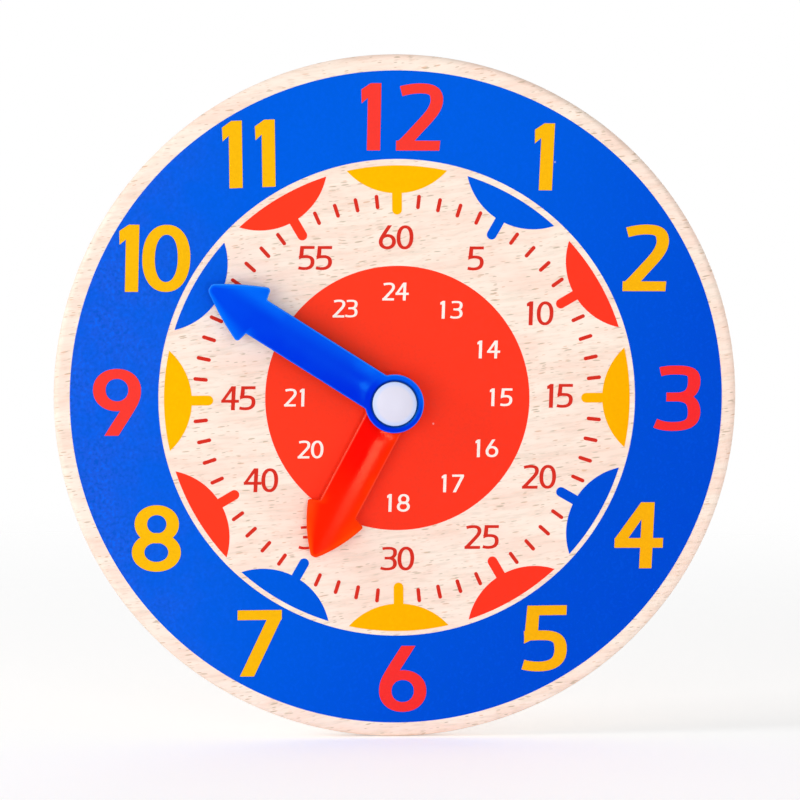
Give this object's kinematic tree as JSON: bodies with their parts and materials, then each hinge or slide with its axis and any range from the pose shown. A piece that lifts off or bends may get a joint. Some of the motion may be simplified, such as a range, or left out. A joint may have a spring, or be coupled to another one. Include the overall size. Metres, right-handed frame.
{
  "type": "geared teaching clock",
  "caption": "Round wooden teaching clock with a printed dial, arrow-shaped hour and minute hands under a domed cap, and a train in a slim rear case that gears them together.",
  "frame": {"origin": "where the hands' axis meets the flat rear face of the gear cover", "axes": "+Z towards 12 o'clock, +X towards 3 o'clock, the dial faces -Y and the gear case faces +Y"},
  "size_m": [0.1999, 0.025, 0.2],
  "materials": {
    "beech": "pale beech face, clear matt lacquer, sanded round edge",
    "blue_plastic": "glossy moulded blue plastic",
    "red_plastic": "glossy moulded red plastic",
    "white_plastic": "milky white moulded plastic",
    "gear_plastic": "natural acetal moulding",
    "case_plastic": "fine-textured light grey moulding",
    "steel": "bright turned or zinc-plated steel",
    "brass": "turned brass",
    "black_rubber": "matt black rubber",
    "blue_ink": "screen-printed blue ink, satin",
    "red_ink": "screen-printed red ink, satin",
    "yellow_ink": "screen-printed yellow ink, satin",
    "cream_ink": "screen-printed cream ink, satin"
  },
  "bodies": {
    "dial_and_case": {"dial_board": "beech", "gear_case": "case_plastic", "gear_cover": "case_plastic", "cover_screws": "steel", "mounting_bush": "brass", "bush_nut": "brass", "nut_washer": "brass", "case_gasket": "black_rubber", "intermediate_axle": "steel", "axle_washers": "gear_plastic", "friction_spring": "steel"},
    "minute_set": {"minute_hand": "blue_plastic", "hub_cap": "white_plastic", "hand_washer": "gear_plastic", "centre_arbor": "steel", "centre_pinion": "gear_plastic", "thrust_washer": "brass"},
    "intermediate_set": {"intermediate_wheel": "gear_plastic"},
    "hour_set": {"hour_hand": "red_plastic", "hour_wheel": "gear_plastic"}
  },
  "joints": [
    {"name": "minute_turn", "type": "hinge", "parent": "dial_and_case", "child": "minute_set", "pos_m": [0, 0, 0], "axis": [0, 1, 0], "continuous": true},
    {"name": "intermediate_turn", "type": "hinge", "parent": "dial_and_case", "child": "intermediate_set", "pos_m": [0, 0, -0.016], "axis": [0, 1, 0], "continuous": true},
    {"name": "hour_turn", "type": "hinge", "parent": "dial_and_case", "child": "hour_set", "pos_m": [0, 0, 0], "axis": [0, 1, 0], "continuous": true}
  ],
  "couplings": [
    {"joint": "intermediate_turn", "follows": "minute_turn", "ratio": -0.33333},
    {"joint": "hour_turn", "follows": "minute_turn", "ratio": 0.083333}
  ]
}
